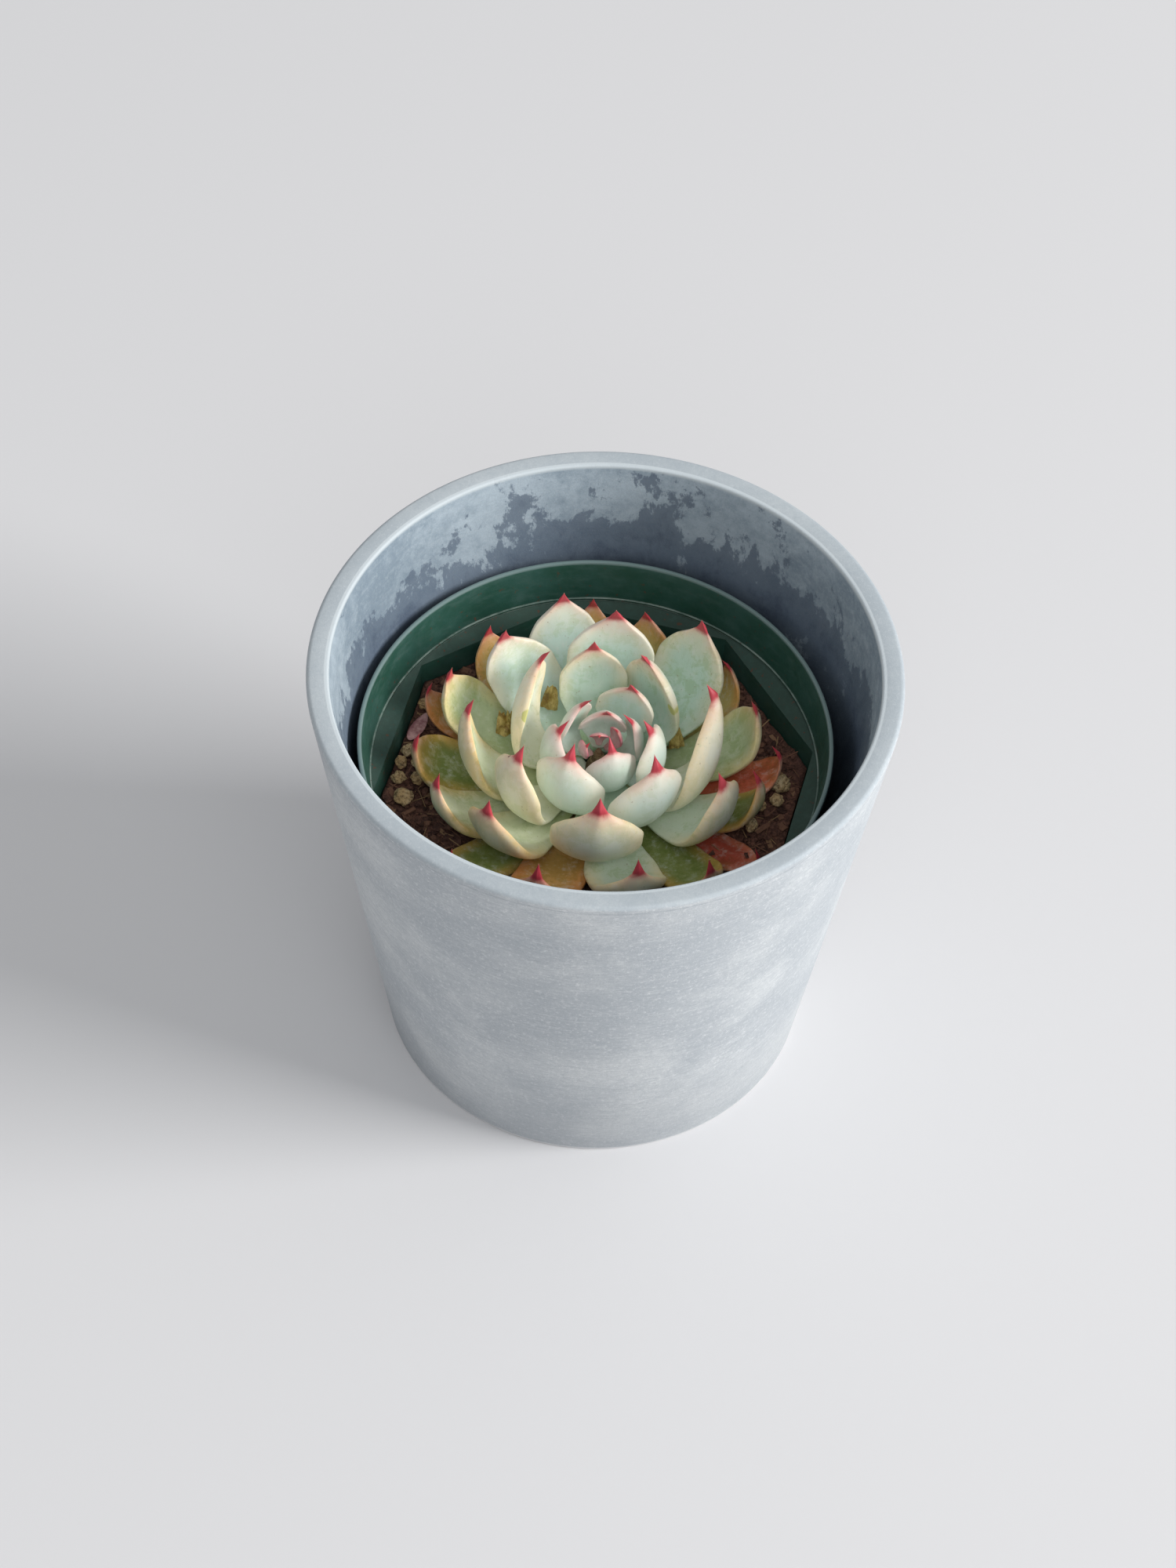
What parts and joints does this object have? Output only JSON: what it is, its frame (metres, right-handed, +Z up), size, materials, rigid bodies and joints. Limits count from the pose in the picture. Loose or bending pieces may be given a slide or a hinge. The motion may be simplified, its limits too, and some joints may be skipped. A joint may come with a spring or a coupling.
{
  "type": "potted succulent",
  "caption": "Rosette succulent in soil in an eight-sided nursery pot, standing inside a smooth tapered outer pot.",
  "frame": {"origin": "centre of the outer pot's foot, on the surface it stands on", "axes": "+Z up out of the pot; -Y is the side the plant is seen from, +X to the right of it"},
  "size_m": [0.15, 0.15, 0.1312],
  "materials": {
    "pot_stone": "matt pale blue-grey, brushed mottling, chalky where light catches the rim",
    "nursery_plastic": "dark green thin moulded plastic, half gloss, dusty on the ledge",
    "potting_soil": "dark reddish brown fibrous potting soil, dry on top",
    "stem_bark": "dull brown skin of a short stem",
    "leaf_bud": "powdery grey-green with pink edges and crimson points",
    "leaf_green": "powdery pale mint skin, cream and pink edges, crimson points",
    "leaf_tan": "olive skin turning yellow and tan, dark red points",
    "leaf_dry": "thin drying leaf, orange to brick red, papery",
    "leaf_shed": "dull pink dry husk",
    "pumice": "matt cream pumice with small dark pits"
  },
  "bodies": {
    "root": {"outer_pot": "pot_stone", "nursery_pot": "nursery_plastic", "soil": "potting_soil", "stem": "stem_bark", "leaf_01": "leaf_bud", "leaf_02": "leaf_bud", "leaf_03": "leaf_bud", "leaf_04": "leaf_bud", "leaf_05": "leaf_bud", "leaf_06": "leaf_bud", "leaf_07": "leaf_bud", "leaf_08": "leaf_bud", "leaf_09": "leaf_green", "leaf_10": "leaf_green", "leaf_11": "leaf_green", "leaf_12": "leaf_green", "leaf_13": "leaf_green", "leaf_14": "leaf_green", "leaf_15": "leaf_green", "leaf_16": "leaf_green", "leaf_17": "leaf_green", "leaf_18": "leaf_green", "leaf_19": "leaf_green", "leaf_20": "leaf_green", "leaf_21": "leaf_green", "leaf_22": "leaf_green", "leaf_23": "leaf_green", "leaf_24": "leaf_green", "leaf_25": "leaf_green", "leaf_26": "leaf_green", "leaf_27": "leaf_green", "leaf_28": "leaf_green", "leaf_29": "leaf_green", "leaf_30": "leaf_green", "leaf_31": "leaf_green", "leaf_32": "leaf_tan", "leaf_33": "leaf_tan", "leaf_34": "leaf_tan", "leaf_35": "leaf_tan", "leaf_36": "leaf_tan", "leaf_37": "leaf_tan", "leaf_38": "leaf_tan", "leaf_39": "leaf_tan", "dry_leaf_1": "leaf_dry", "dry_leaf_2": "leaf_dry", "shed_leaf": "leaf_shed", "grain_01": "pumice", "grain_02": "pumice", "grain_03": "pumice", "grain_04": "pumice", "grain_05": "pumice", "grain_06": "pumice", "grain_07": "pumice", "grain_08": "pumice", "grain_09": "pumice", "grain_10": "pumice", "grain_11": "pumice", "grain_12": "pumice", "grain_13": "pumice", "grain_14": "pumice"}
  },
  "joints": []
}
